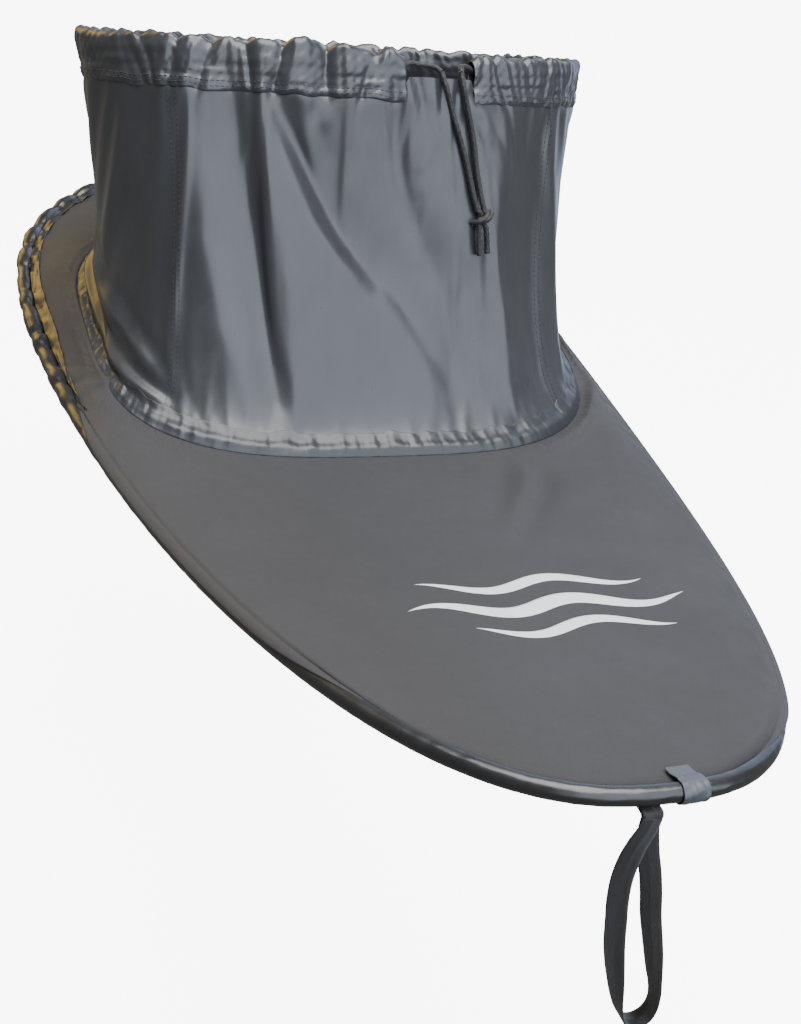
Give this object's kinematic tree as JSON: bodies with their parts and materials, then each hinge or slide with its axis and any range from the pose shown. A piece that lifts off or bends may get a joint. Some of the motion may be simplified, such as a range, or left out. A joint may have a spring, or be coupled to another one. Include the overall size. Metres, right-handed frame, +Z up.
{
  "type": "kayak spray skirt",
  "caption": "Kayak spray skirt: a cloth deck with an elastic hem that grips a cockpit rim, a body tunnel with a drawcord waist, and a webbing grab loop at the bow.",
  "frame": {"origin": "middle of the cockpit rim line, level with the middle of the hem at its widest point, where the coaming holds the skirt", "axes": "+Z up out of the cockpit, -Y towards the bow end and the grab loop, +X to port"},
  "size_m": [0.4345, 0.8815, 0.3526],
  "materials": {
    "deck_cloth": "matt coated cloth",
    "hem_cloth": "satin coated cloth",
    "sleeve_cloth": "satin coated cloth",
    "tunnel_cloth": "glossy coated cloth",
    "seam_tape": "glossy heat-sealed tape",
    "elastic_cord": "braided cover",
    "crimp_metal": "plain",
    "webbing": "woven tape",
    "thread": "twisted thread",
    "drawcord": "braided cord"
  },
  "bodies": {
    "skirt": {"deck_panel": "deck_cloth", "rim_hem": "hem_cloth", "rim_bungee": "elastic_cord", "bungee_crimp": "crimp_metal", "hem_sleeve": "sleeve_cloth", "tunnel_foot_tape": "tunnel_cloth", "tunnel_front_panel": "tunnel_cloth", "tunnel_back_panel": "tunnel_cloth", "side_seam_tape_port": "seam_tape", "side_seam_tape_starboard": "seam_tape", "loop_tab": "webbing", "loop_bartack": "thread"},
    "waist": {"waist_casing": "tunnel_cloth", "waist_drawcord": "drawcord"},
    "drawcord": {"drawcord_strand_starboard": "drawcord", "drawcord_strand_port": "drawcord", "drawcord_knot": "drawcord", "drawcord_tail_starboard": "drawcord", "drawcord_tail_port": "drawcord"},
    "loop": {"grab_loop": "webbing"}
  },
  "joints": [
    {"name": "waist_drop", "type": "slide", "parent": "skirt", "child": "waist", "axis": [0, -0.3907, -0.9205], "range_m": [0, 0.08], "deforming": ["tunnel_front_panel", "tunnel_back_panel", "side_seam_tape_port", "side_seam_tape_starboard"]},
    {"name": "drawcord_swing", "type": "hinge", "parent": "waist", "child": "drawcord", "pos_m": [0.05, -0.0685, 0.237], "axis": [-1, 0, 0], "range_deg": [0, 150]},
    {"name": "loop_swing", "type": "hinge", "parent": "skirt", "child": "loop", "pos_m": [-0.01, -0.6127, 0.0613], "axis": [-1, 0, 0], "range_deg": [-20, 150]}
  ]
}
